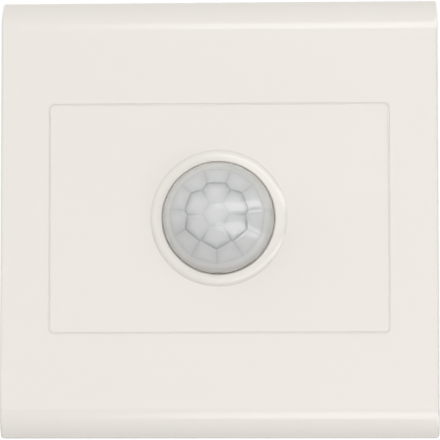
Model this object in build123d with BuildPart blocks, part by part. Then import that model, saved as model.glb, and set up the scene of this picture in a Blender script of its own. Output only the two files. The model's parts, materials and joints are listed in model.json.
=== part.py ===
from build123d import *
from math import cos, radians, sin, sqrt
import os

# Square wall switch with a motion sensor under a faceted dome lens, in millimetres.
# Seen from the room +X is right and +Z is up, and +Y goes into the wall.
# The wall surface is Y = 0, and the origin lies midway between the two fixing screws.

os.makedirs("parts", exist_ok=True)

# Gaps and allowances that many pieces share
seat_gap = 0.3  # between pieces that come apart
shaft_gap = 0.05  # round a shaft that turns
thread_gap = 0.05  # round a screw in the hole that it cuts
overrun = 1.0  # how far a cut runs past what it cuts

# Cover frame: the outer moulding
plate_side = 86.0
front_depth = 9.5
front_wall = 2.0
side_wall = 2.2
wall_gap = 0.3
roll_run = 5.7
roll_drop = 2.5
edge_round = 0.6
post_diameter = 3.6
post_inset = 9.0
notch_width = 10.0
notch_depth = 1.2
tongue_x = 20.0
tongue_width = 8.0
tongue_thickness = 1.4
tongue_root = 0.5
barb_height = 0.5
barb_length = 1.6
barb_lead = 1.2
hook_length = 6.0
hook_thickness = 1.4
hook_lip = 1.1
hook_lip_thickness = 0.6
hook_z = 12.0
hook_gap = 0.1

# Insert plate: the flush panel with the collar
side_band = 9.725
top_band = 20.575
insert_corner = 0.9
seam_gap = 0.15
seam_bevel = 0.18
insert_lap = 1.6
insert_flange = 1.2
insert_ledge = 2.6
collar_raise = 0.6
lens_hole = 22.2
collar_wall = 2.3
collar_roll_share = 0.52  # of the collar wall, taken by the arc down to the panel
collar_inner_share = 0.09  # of the collar wall, rounded at the lens hole
lens_lip = 0.6
seat_step = 1.75
seat_wall = 2.0

# Lens and the ring that holds it
lens_side_gap = 0.12
lens_flange_gap = 0.2
lens_flange = 0.8
lens_skirt = 0.4
lens_wall = 0.55
facet_share = 0.975
facet_rings = ((1, 0, 0), (6, 24.5, 30), (11, 46.5, 90), (11, 69, 90))  # count, tilt, first azimuth
retainer_thickness = 1.2
retainer_lip = 0.55
retainer_gap = 0.05

# Base frame: the yoke that is screwed to the wall box
base_plate = 2.0
base_corner = 1.0
rib_wall = 1.5
rib_height = 3.0
window_width = 9.0
window_margin = 0.3
platform_wall = 1.4
platform_round = 0.8
fixing_spacing = 60.3
fixing_slot = 8.0
fixing_slot_width = 4.4
case_recess = 0.8
case_fit = 0.15
boss_side = 5.6
board_standoff = 1.2
standoff_side = 3.0
standoff_x = 20.0
standoff_z = 14.0
sensor_hole = 9.8
cell_hole_gap = 0.15
trimmer_hole = 6.2

# Rear box and the screws
case_side = 50.0
case_wall = 1.5
case_corner = 1.5
case_headroom = 0.8
step_z = -9.0
column_sink = 0.4
column_side = 6.0
column_floor = 3.3
column_bore = 5.0
rib_depth = 2.0
rib_width = 2.0
case_screw_diameter = 2.6
case_screw_length = 6.8
case_screw_head = 4.6
case_screw_head_height = 1.6
case_screw_hole_gap = 0.2
fixing_diameter = 4.0
fixing_neck = 3.5
fixing_length = 25.0
fixing_head = 7.6
fixing_head_height = 2.6
fixing_head_bevel = 1.0
drive_slot_width = 0.9
drive_slot_depth = 1.0

# Circuit boards and what joins them
board_thickness = 1.6
board_edge_gap = 0.5
sensor_board_height = 34.0
board_spacing = 7.8
power_board_notch = 7.5
header_pins_count = 5
header_pitch = 2.54
header_pin = 0.64
header_hole = 0.84
header_z = -12.5
header_strip = 2.5
header_tail = 0.6

# Infrared sensor in its can
can_diameter = 8.2
can_height = 4.2
can_wall = 0.25
can_rim = 9.1
can_rim_thickness = 0.25
can_focus = 0.3
can_bevel = 0.3
can_opening_width = 4.0
can_opening_height = 3.0
filter_overlap = 0.4
filter_thickness = 0.4
header_base = 0.4
header_boss = 0.5
header_boss_gap = 0.05
sensor_lead = 0.45
sensor_lead_circle = 5.08
element_width = 1.0
element_height = 2.4
element_spacing = 2.0
element_base = 0.4
element_thickness = 0.2
spacer_diameter = 8.8
spacer_bore = 6.4

# Light cell beside the sensor
cell_share = 0.53  # of the way from the can to the lens ring
cell_diameter = 4.2
cell_thickness = 2.0
cell_proud = 1.4
cell_flat = 3.6
cell_lead = 0.5
cell_lead_spacing = 2.2

# Trimmers for time and light level
trimmer_x = 15.0
trimmer_z = -13.0
trimmer_body = 6.3
trimmer_corner = 0.8
trimmer_headroom = 0.2
rotor_diameter = 5.2
rotor_stem = 2.0
rotor_proud = 0.2
rotor_lift = 0.1
rotor_slot_length = 3.6
rotor_slot_width = 0.7
rotor_slot_depth = 0.8
pointer_width = 1.4

# Control chip on the back of the sensor board
chip_length = 9.9
chip_width = 3.9
chip_height = 1.5
chip_lift = 0.1
chip_z = 6.0
chip_pitch = 1.27
chip_leads_per_side = 8
chip_lead_width = 0.4
chip_lead_thickness = 0.2
chip_lead_reach = 1.05
chip_lead_foot = 0.55
chip_lead_height = 0.85

# Relay on the power board
relay_length = 19.0
relay_width = 15.4
relay_height = 15.3
relay_side_gap = 3.0
relay_z = 9.2
relay_wall = 0.8
relay_corner = 0.8
relay_base_thickness = 1.3
relay_base_gap = 0.05
yoke_thickness = 1.0
yoke_width = 9.0
yoke_edge_gap = 0.7
bobbin_flange_diameter = 10.0
bobbin_flange = 0.8
bobbin_tube = 4.8
bobbin_bore = 3.5
bobbin_length = 9.3
bobbin_yoke_gap = 0.6
winding_diameter = 9.2
core_gap = 0.05
pole_diameter = 5.6
pole_thickness = 0.5
armature_thickness = 1.0
armature_angle = 3.0
armature_lift = 0.05
armature_clear = 0.08
blade_thickness = 0.3
blade_width = 5.0
blade_lap = 5.0
contact_diameter = 2.2
contact_height = 0.85
contact_edge = 1.4
fixed_contact_height = 0.7
fixed_arm_width = 3.0
fixed_arm_thickness = 0.6
fixed_post_gap = 0.5

# Other components on the power board
film_length = 18.0
film_width = 5.6
film_height = 11.0
film_round = 0.6
film_x = 10.5
film_z = 13.8
drum_sizes = ((8.0, 12.0, 6.0, 4.4), (5.0, 11.0, 13.6, 5.4))  # diameter, height, x, z
drum_bevel = 0.5
drum_groove = 0.3
drum_groove_width = 0.8
drum_groove_height = 1.6
varistor_diameter = 9.0
varistor_thickness = 3.6
varistor_round = 0.9
varistor_lift = 1.0
varistor_x = 18.4
varistor_z = -2.6
varistor_lead = 0.6
varistor_lead_spacing = 5.0
fuse_diameter = 3.5
fuse_length = 9.0
fuse_x = 0.0
fuse_z = -5.6
diode_diameter = 2.7
diode_length = 5.2
diode_count = 4
diode_pitch = 3.5
diode_x = -14.2
diode_z = -4.6
axial_lift = 0.25
axial_lead = 0.7
axial_lead_reach = 1.5

# Terminals with rising cages
terminal_count = 3
terminal_pitch = 10.0
terminal_floor = 1.4
terminal_roof = 1.0
terminal_wall = 1.2
terminal_front_wall = 1.3
terminal_case_gap = 0.3
entry_side = 4.6
cage_width = 7.0
cage_depth = 5.5
cage_wall = 0.8
cage_top = 1.6
cage_window = 3.6
cage_lift = 0.1
cage_travel = 2.5
cage_side_gap = 0.15
cage_round = 0.5
bar_width = 4.4
bar_thickness = 0.8
bar_window_gap = 0.2
bar_end_gap = 0.2
bar_slot_gap = 0.05
clamp_screw = 3.0
clamp_head = 4.9
clamp_head_height = 1.5
clamp_head_lift = 0.05
clamp_tip_gap = 0.1
clamp_hole_gap = 0.1
access_gap = 0.35

# Levels along Y, from the room to the back of the rear box
half = plate_side / 2
front_y = -front_depth
rim_y = -wall_gap
insert_rear_y = front_y + front_wall
flange_rear_y = insert_rear_y + insert_flange
lens_flange_front_y = front_y + lens_lip
lens_flange_rear_y = lens_flange_front_y + lens_flange
retainer_rear_y = lens_flange_rear_y + retainer_thickness
dome_y = lens_flange_front_y - lens_skirt
platform_front_y = flange_rear_y + seat_gap
platform_rear_y = platform_front_y + platform_wall
sensor_board_front_y = platform_rear_y + board_standoff
sensor_board_rear_y = sensor_board_front_y + board_thickness
power_board_front_y = sensor_board_rear_y + board_spacing
power_board_rear_y = power_board_front_y + board_thickness
relay_rear_y = power_board_rear_y + relay_height
case_inner_rear_y = relay_rear_y + case_headroom
case_rear_y = case_inner_rear_y + case_wall
cage_floor_y = power_board_rear_y + terminal_floor
cage_front_y = cage_floor_y + cage_lift
window_front_y = cage_front_y + cage_wall
window_rear_y = window_front_y + cage_window
cage_rear_y = window_rear_y + cage_top
bar_rear_y = window_rear_y - bar_window_gap
roof_front_y = cage_rear_y + cage_travel + cage_lift
roof_rear_y = roof_front_y + terminal_roof
clamp_head_front_y = roof_rear_y + clamp_head_lift
clamp_head_rear_y = clamp_head_front_y + clamp_head_height
step_inner_rear_y = clamp_head_rear_y + seat_gap
step_rear_y = step_inner_rear_y + case_wall

# Widths that follow from the ones above
inner_half = half - side_wall
base_side = 2 * (inner_half - seat_gap)
rib_inner = base_side - 2 * rib_wall
case_inner = case_side - 2 * case_wall
column_offset = case_inner / 2 - column_side / 2 + column_sink
insert_width = plate_side - 2 * side_band
insert_height = plate_side - 2 * top_band
opening_width = insert_width + 2 * seam_gap
opening_height = insert_height + 2 * seam_gap
collar_diameter = lens_hole + 2 * collar_wall
lens_seat = lens_hole + 2 * seat_step
dome_radius = lens_hole / 2 - lens_side_gap
facet_distance = facet_share * dome_radius
retainer_bore = lens_hole - 2 * retainer_lip
cell_z = -(can_diameter + cell_share * (retainer_bore - can_diameter)) / 2
case_bottom_z = -case_side / 2
terminal_bottom_z = -case_inner / 2 + terminal_case_gap
cavity_bottom_z = terminal_bottom_z + terminal_front_wall
cavity_top_z = cavity_bottom_z + cage_depth + 2 * cage_side_gap
terminal_top_z = cavity_top_z + terminal_wall
cage_z = (cavity_bottom_z + cavity_top_z) / 2
entry_y = cage_floor_y + entry_side / 2
terminal_places = [(i - (terminal_count - 1) / 2) * terminal_pitch for i in range(terminal_count)]
fixing_places = [(-fixing_spacing / 2, 0), (fixing_spacing / 2, 0)]


def room_plane(y):
    """Plane parallel to the wall at depth y, with its normal towards the room."""
    return Plane(origin=(0, y, 0), x_dir=(1, 0, 0), z_dir=(0, -1, 0))


def turning_plane(x, z):
    """Plane for a turned profile: its x is the radius and its y is the depth."""
    return Plane(origin=(x, 0, z), x_dir=(1, 0, 0), z_dir=(0, 0, 1))


def turning_axis(x, z):
    """Axis of a turned piece, square to the wall."""
    return Axis((x, 0, z), (0, 1, 0))


# Cover frame: a square shell whose top and bottom edges roll back
roll_radius = (roll_run**2 + roll_drop**2) / (2 * roll_drop)
roll_start = half - roll_run
inner_roll_radius = roll_radius - front_wall
inner_roll_y = front_y + roll_radius - sqrt(inner_roll_radius**2 - (inner_half - roll_start) ** 2)
tongue_top_y = insert_rear_y - tongue_root
tongue_outer_z = rib_inner / 2 - seat_gap - barb_height
tongue_end_y = -base_plate - 2 * seat_gap
hook_front_x = opening_width / 2 + insert_lap + hook_gap
hook_lip_y = flange_rear_y + hook_gap
hook_end_y = hook_lip_y + hook_lip_thickness
post_place = half - post_inset

with BuildPart() as cover_frame:
    with BuildSketch(Plane.YZ):
        with BuildLine():
            Line((front_y, -roll_start), (front_y, roll_start))
            TangentArc((front_y, roll_start), (front_y + roll_drop, half), tangent=(0, 1))
            Polyline(
                (front_y + roll_drop, half), (rim_y, half), (rim_y, -half), (front_y + roll_drop, -half)
            )
            TangentArc((front_y, -roll_start), (front_y + roll_drop, -half), tangent=(0, -1))
        make_face()
    extrude(amount=half, both=True)
    rim_edges = cover_frame.edges().group_by(Axis.Y)[-1]
    smooth_edges = cover_frame.edges().filter_by(Axis.X).group_by(Axis.Y)[0]
    fillet(cover_frame.edges() - rim_edges - smooth_edges, edge_round)
    with BuildSketch(Plane.YZ):
        with BuildLine():
            Line((insert_rear_y, -roll_start), (insert_rear_y, roll_start))
            TangentArc((insert_rear_y, roll_start), (inner_roll_y, inner_half), tangent=(0, 1))
            Polyline(
                (inner_roll_y, inner_half),
                (rim_y + overrun, inner_half),
                (rim_y + overrun, -inner_half),
                (inner_roll_y, -inner_half),
            )
            TangentArc((insert_rear_y, -roll_start), (inner_roll_y, -inner_half), tangent=(0, -1))
        make_face()
    extrude(amount=inner_half, both=True, mode=Mode.SUBTRACT)
    with BuildSketch(room_plane(insert_rear_y + overrun)):
        RectangleRounded(opening_width, opening_height, insert_corner + seam_gap)
    extrude(amount=front_wall + 2 * overrun, mode=Mode.SUBTRACT)
    opening_edges = cover_frame.edges().filter_by_position(Axis.Y, front_y, front_y)
    chamfer(opening_edges.filter_by_position(Axis.X, -opening_width / 2, opening_width / 2), seam_bevel)
    with BuildSketch(room_plane(rim_y)):
        with Locations((0, -half)):
            Rectangle(notch_width, 2 * side_wall + overrun)
    extrude(amount=notch_depth, mode=Mode.SUBTRACT)
    with BuildSketch(room_plane(-base_plate - seat_gap)):
        with GridLocations(2 * post_place, 2 * post_place, 2, 2):
            Circle(post_diameter / 2)
    extrude(amount=front_depth - front_wall - base_plate - seat_gap + tongue_root)
    for side in (-1, 1):
        for x in (-tongue_x, tongue_x):
            with BuildSketch(Plane.YZ.offset(x)):
                with BuildLine():
                    Polyline(
                        (tongue_top_y, side * (tongue_outer_z - tongue_thickness)),
                        (tongue_top_y, side * tongue_outer_z),
                        (tongue_end_y - barb_length, side * tongue_outer_z),
                        (tongue_end_y - barb_lead, side * (tongue_outer_z + barb_height)),
                        (tongue_end_y, side * tongue_outer_z),
                        (tongue_end_y, side * (tongue_outer_z - tongue_thickness)),
                        close=True,
                    )
                make_face()
            extrude(amount=tongue_width / 2, both=True)
        for z in (-hook_z, hook_z):
            with BuildSketch(Plane.XY.offset(z)):
                with BuildLine():
                    Polyline(
                        (side * hook_front_x, insert_rear_y),
                        (side * hook_front_x, hook_lip_y),
                        (side * (hook_front_x - hook_lip), hook_lip_y),
                        (side * hook_front_x, hook_end_y),
                        (side * (hook_front_x + hook_thickness), hook_end_y),
                        (side * (hook_front_x + hook_thickness), insert_rear_y),
                        close=True,
                    )
                make_face()
            extrude(amount=hook_length / 2, both=True)
cover_frame.part.label = "cover_frame"
export_step(cover_frame.part, "parts/cover_frame.step")

# Insert plate: a flush panel with a low collar that rolls down to it round the lens hole
collar_y = front_y - collar_raise
collar_flat = collar_diameter / 2 - collar_roll_share * collar_wall

with BuildPart() as insert_plate:
    with BuildSketch(room_plane(insert_rear_y)):
        RectangleRounded(insert_width, insert_height, insert_corner)
    extrude(amount=front_wall)
    chamfer(insert_plate.faces().sort_by(Axis.Y)[0].edges(), seam_bevel)
    with BuildSketch(room_plane(flange_rear_y)):
        RectangleRounded(opening_width + 2 * insert_lap, opening_height + 2 * insert_lap, insert_corner)
        Rectangle(insert_width - 2 * insert_ledge, insert_height - 2 * insert_ledge, mode=Mode.SUBTRACT)
    extrude(amount=insert_flange)
    with BuildSketch(turning_plane(0, 0)):
        with BuildLine():
            Line((0, collar_y), (collar_flat, collar_y))
            TangentArc((collar_flat, collar_y), (collar_diameter / 2, front_y), tangent=(1, 0))
            Polyline(
                (collar_diameter / 2, front_y),
                (collar_diameter / 2, insert_rear_y),
                (0, insert_rear_y),
                (0, collar_y),
            )
        make_face()
    revolve(axis=turning_axis(0, 0))
    with BuildSketch(room_plane(retainer_rear_y)):
        Circle(lens_seat / 2 + seat_wall)
    extrude(amount=retainer_rear_y - insert_rear_y)
    with BuildSketch(room_plane(retainer_rear_y)):
        Circle(lens_seat / 2)
    extrude(amount=retainer_rear_y - lens_flange_front_y, mode=Mode.SUBTRACT)
    with BuildSketch(room_plane(retainer_rear_y)):
        Circle(lens_hole / 2)
    extrude(amount=retainer_rear_y - collar_y + overrun, mode=Mode.SUBTRACT)
    hole_edge = insert_plate.edges().group_by(Axis.Y)[0].sort_by(SortBy.RADIUS)[0]
    fillet(hole_edge, collar_inner_share * collar_wall)
insert_plate.part.label = "insert_plate"
export_step(insert_plate.part, "parts/insert_plate.step")

# Lens: a thin dome whose flat facets all lie equally far from its centre
inner_dome_radius = facet_distance - lens_wall

with BuildPart() as fresnel_lens:
    with BuildSketch(room_plane(lens_flange_front_y)):
        Circle(dome_radius)
    extrude(amount=lens_skirt + dome_radius)
    for count, tilt, first_azimuth in facet_rings:
        for i in range(count):
            azimuth = radians(first_azimuth + 360 * i / count)
            out = (
                sin(radians(tilt)) * cos(azimuth),
                -cos(radians(tilt)),
                sin(radians(tilt)) * sin(azimuth),
            )
            touch = (
                facet_distance * out[0],
                dome_y + facet_distance * out[1],
                facet_distance * out[2],
            )
            split(bisect_by=Plane(origin=touch, z_dir=out), keep=Keep.BOTTOM)
    with BuildSketch(room_plane(lens_flange_rear_y)):
        Circle(lens_seat / 2 - lens_flange_gap)
    extrude(amount=lens_flange)
    with BuildSketch(turning_plane(0, 0)):
        with BuildLine():
            Line((0, lens_flange_rear_y), (0, dome_y - inner_dome_radius))
            CenterArc((0, dome_y), inner_dome_radius, start_angle=-90, arc_size=90)
            Polyline(
                (inner_dome_radius, dome_y),
                (inner_dome_radius, lens_flange_rear_y),
                (0, lens_flange_rear_y),
            )
        make_face()
    revolve(axis=turning_axis(0, 0), mode=Mode.SUBTRACT)
fresnel_lens.part.label = "fresnel_lens"
export_step(fresnel_lens.part, "parts/fresnel_lens.step")

# Ring pressed in behind the lens flange
with BuildPart() as lens_retainer:
    with BuildSketch(room_plane(retainer_rear_y)):
        Circle(lens_seat / 2 - retainer_gap)
        Circle(retainer_bore / 2, mode=Mode.SUBTRACT)
    extrude(amount=retainer_thickness)
lens_retainer.part.label = "lens_retainer"
export_step(lens_retainer.part, "parts/lens_retainer.step")

# Base frame: plate with a rim rib, and a platform that covers the sensor board
window_rear = -base_plate - seat_gap
trimmer_places = [(-trimmer_x, trimmer_z), (trimmer_x, trimmer_z)]
screw_end_y = -case_recess + column_floor - case_screw_length

with BuildPart() as base_frame:
    with BuildSketch(room_plane(0)):
        RectangleRounded(base_side, base_side, base_corner)
    extrude(amount=base_plate)
    with BuildSketch(room_plane(-base_plate)):
        RectangleRounded(base_side, base_side, base_corner)
        Rectangle(rib_inner, rib_inner, mode=Mode.SUBTRACT)
    extrude(amount=rib_height)
    with BuildSketch(room_plane(-base_plate)):
        Rectangle(case_side, case_side)
    extrude(amount=-base_plate - platform_front_y)
    fillet(base_frame.faces().sort_by(Axis.Y)[0].edges(), platform_round)
    with BuildSketch(room_plane(0)):
        Rectangle(case_inner, case_inner)
    extrude(amount=-platform_rear_y, mode=Mode.SUBTRACT)
    with BuildSketch(room_plane(0)):
        RectangleRounded(case_side + 2 * case_fit, case_side + 2 * case_fit, case_corner)
    extrude(amount=case_recess, mode=Mode.SUBTRACT)
    with BuildSketch(room_plane(-case_recess)):
        with GridLocations(2 * column_offset, 2 * column_offset, 2, 2):
            Rectangle(boss_side, boss_side)
    extrude(amount=-case_recess - platform_rear_y)
    with BuildSketch(room_plane(sensor_board_front_y)):
        with GridLocations(2 * standoff_x, 2 * standoff_z, 2, 2):
            Rectangle(standoff_side, standoff_side)
    extrude(amount=board_standoff)
    with BuildSketch(room_plane(-case_recess)):
        with GridLocations(2 * column_offset, 2 * column_offset, 2, 2):
            Circle(case_screw_diameter / 2 + thread_gap)
    extrude(amount=-case_recess - screw_end_y, mode=Mode.SUBTRACT)
    with BuildSketch(room_plane(platform_rear_y)):
        Circle(sensor_hole / 2)
        with Locations((0, cell_z)):
            Circle(cell_diameter / 2 + cell_hole_gap)
        with Locations(*trimmer_places):
            Circle(trimmer_hole / 2)
    extrude(amount=platform_wall + overrun, mode=Mode.SUBTRACT)
    with BuildSketch(room_plane(0)):
        with Locations(*fixing_places):
            SlotOverall(fixing_slot, fixing_slot_width)
    extrude(amount=base_plate + overrun, mode=Mode.SUBTRACT)
    with BuildSketch(room_plane(window_rear)):
        with GridLocations(2 * tongue_x, base_side - rib_wall, 2, 2):
            Rectangle(window_width, rib_wall + overrun)
    extrude(amount=barb_length + window_margin, mode=Mode.SUBTRACT)
base_frame.part.label = "base_frame"
export_step(base_frame.part, "parts/base_frame.step")

# Rear box: a deep part behind the relay and a shallower part behind the terminals
with BuildPart() as rear_box:
    with BuildSketch(Plane.YZ):
        with BuildLine():
            Polyline(
                (-case_recess, case_bottom_z),
                (step_rear_y, case_bottom_z),
                (step_rear_y, step_z),
                (case_rear_y, step_z),
                (case_rear_y, case_side / 2),
                (-case_recess, case_side / 2),
                close=True,
            )
        make_face()
    extrude(amount=case_side / 2, both=True)
    fillet(rear_box.edges().filter_by(Axis.Y), case_corner)
    with BuildSketch(Plane.YZ):
        with BuildLine():
            Polyline(
                (-case_recess, -case_inner / 2),
                (step_inner_rear_y, -case_inner / 2),
                (step_inner_rear_y, step_z + case_wall),
                (case_inner_rear_y, step_z + case_wall),
                (case_inner_rear_y, case_inner / 2),
                (-case_recess, case_inner / 2),
                close=True,
            )
        make_face()
    extrude(amount=case_inner / 2, both=True, mode=Mode.SUBTRACT)
    for z, rear in ((-column_offset, step_rear_y), (column_offset, case_rear_y)):
        with BuildSketch(room_plane(rear)):
            with Locations((-column_offset, z), (column_offset, z)):
                Rectangle(column_side, column_side)
        extrude(amount=rear + case_recess)
        with BuildSketch(room_plane(rear)):
            with Locations((-column_offset, z), (column_offset, z)):
                Circle(column_bore / 2)
        extrude(amount=rear + case_recess - column_floor, mode=Mode.SUBTRACT)
        with BuildSketch(room_plane(rear)):
            with Locations((-column_offset, z), (column_offset, z)):
                Circle(case_screw_diameter / 2 + case_screw_hole_gap)
        extrude(amount=rear + case_recess + overrun, mode=Mode.SUBTRACT)
    with BuildSketch(room_plane(case_inner_rear_y)):
        with GridLocations(case_inner - rib_depth, 0, 2, 1):
            Rectangle(rib_depth, rib_width)
        with Locations((0, (case_inner - rib_depth) / 2)):
            Rectangle(rib_width, rib_depth)
    extrude(amount=case_inner_rear_y - power_board_rear_y)
    with BuildSketch(room_plane(step_rear_y)):
        with Locations(*[(x, cage_z) for x in terminal_places]):
            Circle(clamp_head / 2 + access_gap)
    extrude(amount=case_wall + seat_gap / 2, mode=Mode.SUBTRACT)
    with BuildSketch(Plane.XY.offset(case_bottom_z)):
        with Locations(*[(x, entry_y) for x in terminal_places]):
            Rectangle(entry_side, entry_side)
    extrude(amount=case_wall + seat_gap / 2, mode=Mode.SUBTRACT)
rear_box.part.label = "rear_box"
export_step(rear_box.part, "parts/rear_box.step")

# Two machine screws that hold the base frame to the wall box, with a plain neck in the slots
with BuildPart() as mounting_screws:
    with BuildSketch(room_plane(fixing_length - base_plate)):
        with Locations(*fixing_places):
            Circle(fixing_diameter / 2)
    extrude(amount=fixing_length - base_plate)
    with BuildSketch(room_plane(0)):
        with Locations(*fixing_places):
            Circle(fixing_neck / 2)
    extrude(amount=base_plate)
    with BuildSketch(room_plane(-base_plate)):
        with Locations(*fixing_places):
            Circle(fixing_head / 2)
    extrude(amount=fixing_head_height)
    chamfer(mounting_screws.edges().group_by(Axis.Y)[0], fixing_head_bevel)
    with BuildSketch(room_plane(-base_plate - fixing_head_height + drive_slot_depth)):
        with Locations(*fixing_places):
            Rectangle(fixing_head, drive_slot_width)
    extrude(amount=drive_slot_depth + overrun, mode=Mode.SUBTRACT)
mounting_screws.part.label = "mounting_screws"
export_step(mounting_screws.part, "parts/mounting_screws.step")

# Four screws that hold the rear box to the base frame
case_screw_seat_y = -case_recess + column_floor

with BuildPart() as case_screws:
    with BuildSketch(room_plane(case_screw_seat_y)):
        with GridLocations(2 * column_offset, 2 * column_offset, 2, 2):
            Circle(case_screw_diameter / 2)
    extrude(amount=case_screw_length)
    with BuildSketch(room_plane(case_screw_seat_y + case_screw_head_height)):
        with GridLocations(2 * column_offset, 2 * column_offset, 2, 2):
            Circle(case_screw_head / 2)
    extrude(amount=case_screw_head_height)
case_screws.part.label = "case_screws"
export_step(case_screws.part, "parts/case_screws.step")

# Sensor board behind the platform
board_width = case_inner - 2 * board_edge_gap
header_span = header_pins_count * header_pitch

with BuildPart() as sensor_board:
    with BuildSketch(room_plane(sensor_board_rear_y)):
        Rectangle(board_width, sensor_board_height)
        with Locations((0, header_z)):
            with GridLocations(header_pitch, 0, header_pins_count, 1):
                Rectangle(header_hole, header_hole, mode=Mode.SUBTRACT)
    extrude(amount=board_thickness)
sensor_board.part.label = "sensor_board"
export_step(sensor_board.part, "parts/sensor_board.step")

# Power board, notched at its corners for the screw columns
with BuildPart() as power_board:
    with BuildSketch(room_plane(power_board_rear_y)):
        Rectangle(board_width, board_width)
        with GridLocations(board_width, board_width, 2, 2):
            Rectangle(2 * power_board_notch, 2 * power_board_notch, mode=Mode.SUBTRACT)
        with Locations((0, header_z)):
            with GridLocations(header_pitch, 0, header_pins_count, 1):
                Rectangle(header_hole, header_hole, mode=Mode.SUBTRACT)
    extrude(amount=board_thickness)
power_board.part.label = "power_board"
export_step(power_board.part, "parts/power_board.step")

# Pin header between the boards
with BuildPart() as header_block:
    with BuildSketch(room_plane(power_board_front_y)):
        with Locations((0, header_z)):
            Rectangle(header_span, header_strip)
            with GridLocations(header_pitch, 0, header_pins_count, 1):
                Rectangle(header_pin, header_pin, mode=Mode.SUBTRACT)
    extrude(amount=header_strip)
header_block.part.label = "header_block"
export_step(header_block.part, "parts/header_block.step")

with BuildPart() as header_pins:
    with BuildSketch(room_plane(power_board_rear_y + header_tail)):
        with Locations((0, header_z)):
            with GridLocations(header_pitch, 0, header_pins_count, 1):
                Rectangle(header_pin, header_pin)
    extrude(amount=power_board_rear_y - sensor_board_front_y + 2 * header_tail)
header_pins.part.label = "header_pins"
export_step(header_pins.part, "parts/header_pins.step")

# Infrared sensor: its window lies at the centre of the dome
can_front_y = dome_y + can_focus
can_rear_y = can_front_y + can_height
can_bottom_y = can_rear_y - header_base

with BuildPart() as sensor_can:
    with BuildSketch(room_plane(can_bottom_y)):
        Circle(can_diameter / 2)
    extrude(amount=can_height - header_base)
    with BuildSketch(room_plane(can_bottom_y)):
        Circle(can_rim / 2)
    extrude(amount=can_rim_thickness)
    chamfer(sensor_can.edges().group_by(Axis.Y)[0], can_bevel)
    with BuildSketch(room_plane(can_bottom_y)):
        Circle(can_diameter / 2 - can_wall)
    extrude(amount=can_height - header_base - can_wall, mode=Mode.SUBTRACT)
    with BuildSketch(room_plane(can_bottom_y)):
        Rectangle(can_opening_width, can_opening_height)
    extrude(amount=can_height + overrun, mode=Mode.SUBTRACT)
sensor_can.part.label = "sensor_can"
export_step(sensor_can.part, "parts/sensor_can.step")

with BuildPart() as sensor_window:
    with BuildSketch(room_plane(can_front_y + can_wall + filter_thickness)):
        Rectangle(can_opening_width + 2 * filter_overlap, can_opening_height + 2 * filter_overlap)
    extrude(amount=filter_thickness)
sensor_window.part.label = "sensor_window"
export_step(sensor_window.part, "parts/sensor_window.step")

with BuildPart() as sensor_header:
    with BuildSketch(room_plane(can_rear_y)):
        Circle(can_rim / 2)
    extrude(amount=header_base)
    with BuildSketch(room_plane(can_bottom_y)):
        Circle(can_diameter / 2 - can_wall - header_boss_gap)
    extrude(amount=header_boss)
    with BuildSketch(room_plane(sensor_board_front_y)):
        with PolarLocations(sensor_lead_circle / 2, 3, start_angle=-180, angular_range=270):
            Rectangle(sensor_lead, sensor_lead)
    extrude(amount=sensor_board_front_y - can_rear_y)
sensor_header.part.label = "sensor_header"
export_step(sensor_header.part, "parts/sensor_header.step")

# Twin sensing elements on their carrier inside the can
with BuildPart() as sensing_elements:
    with BuildSketch(room_plane(can_bottom_y - header_boss)):
        Rectangle(element_spacing + 2 * element_width, element_height + element_width)
    extrude(amount=element_base)
    with BuildSketch(room_plane(can_bottom_y - header_boss - element_base)):
        with GridLocations(element_spacing, 0, 2, 1):
            Rectangle(element_width, element_height)
    extrude(amount=element_thickness)
sensing_elements.part.label = "sensing_elements"
export_step(sensing_elements.part, "parts/sensing_elements.step")

with BuildPart() as sensor_spacer:
    with BuildSketch(room_plane(sensor_board_front_y)):
        Circle(spacer_diameter / 2)
        Circle(spacer_bore / 2, mode=Mode.SUBTRACT)
    extrude(amount=sensor_board_front_y - can_rear_y)
sensor_spacer.part.label = "sensor_spacer"
export_step(sensor_spacer.part, "parts/sensor_spacer.step")

# Light cell: a disc with two flats, seen through the lens, and its leads
cell_front_y = platform_front_y - cell_proud
cell_rear_y = cell_front_y + cell_thickness

with BuildPart() as light_cell:
    with BuildSketch(room_plane(cell_rear_y)):
        with Locations((0, cell_z)):
            Circle(cell_diameter / 2)
            Rectangle(cell_diameter, cell_flat, mode=Mode.INTERSECT)
    extrude(amount=cell_thickness)
light_cell.part.label = "light_cell"
export_step(light_cell.part, "parts/light_cell.step")

with BuildPart() as light_cell_leads:
    with BuildSketch(room_plane(sensor_board_front_y)):
        with Locations((0, cell_z)):
            with GridLocations(cell_lead_spacing, 0, 2, 1):
                Rectangle(cell_lead, cell_lead)
    extrude(amount=sensor_board_front_y - cell_rear_y)
light_cell_leads.part.label = "light_cell_leads"
export_step(light_cell_leads.part, "parts/light_cell_leads.step")

# Trimmers: a body on the board, and a rotor that a screwdriver turns
trimmer_front_y = platform_rear_y + trimmer_headroom
rotor_front_y = platform_front_y - rotor_proud

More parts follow.
